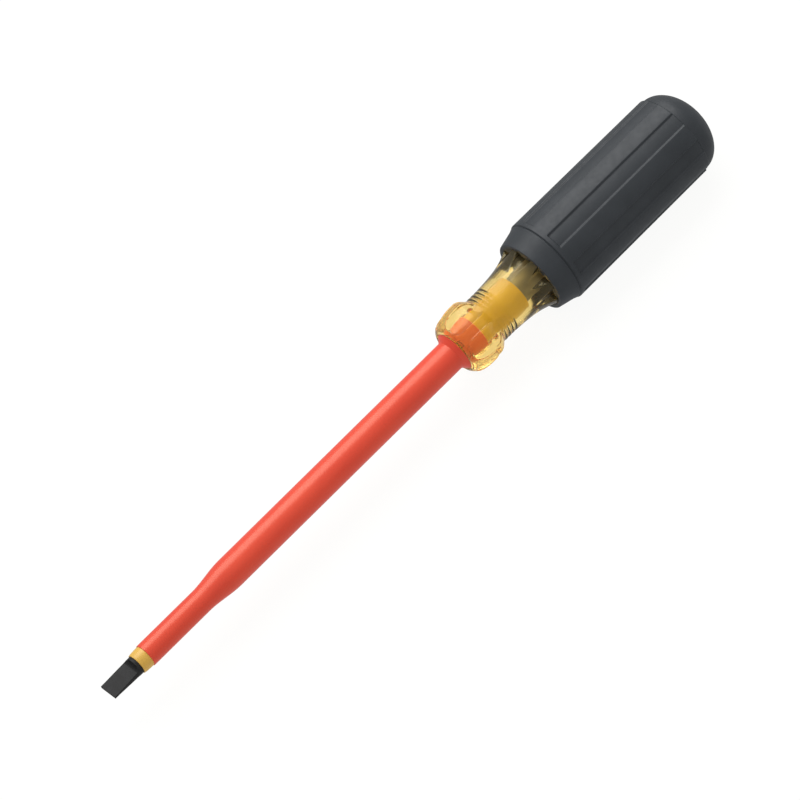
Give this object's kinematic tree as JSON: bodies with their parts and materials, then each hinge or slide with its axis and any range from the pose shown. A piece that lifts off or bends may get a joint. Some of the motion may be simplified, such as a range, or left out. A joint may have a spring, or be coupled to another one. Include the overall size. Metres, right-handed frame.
{
  "type": "insulated slotted screwdriver",
  "caption": "Insulated slotted screwdriver: a dark steel blade in a two-layer insulating sleeve, a clear amber core handle and a ribbed rubber cushion grip.",
  "frame": {"origin": "middle of the flat end of the blade tip, on the tool's axis", "axes": "+X runs along the axis from the blade tip to the butt of the grip; the blade's broad faces look along +Z and -Z, and the blade is wide along Y"},
  "size_m": [0.3078, 0.0354, 0.0354],
  "materials": {
    "black_oxide_steel": "black oxide over fine grinding marks",
    "yellow_insulation": "moulded ochre yellow, semi-matt",
    "orange_insulation": "moulded orange-red, satin gloss",
    "amber_acetate": "clear amber cellulose acetate, polished",
    "black_rubber": "matt black cushion rubber"
  },
  "bodies": {
    "root": {"steel_shank": "black_oxide_steel", "inner_insulation": "yellow_insulation", "outer_insulation": "orange_insulation", "core_handle": "amber_acetate", "rubber_grip": "black_rubber"}
  },
  "joints": []
}
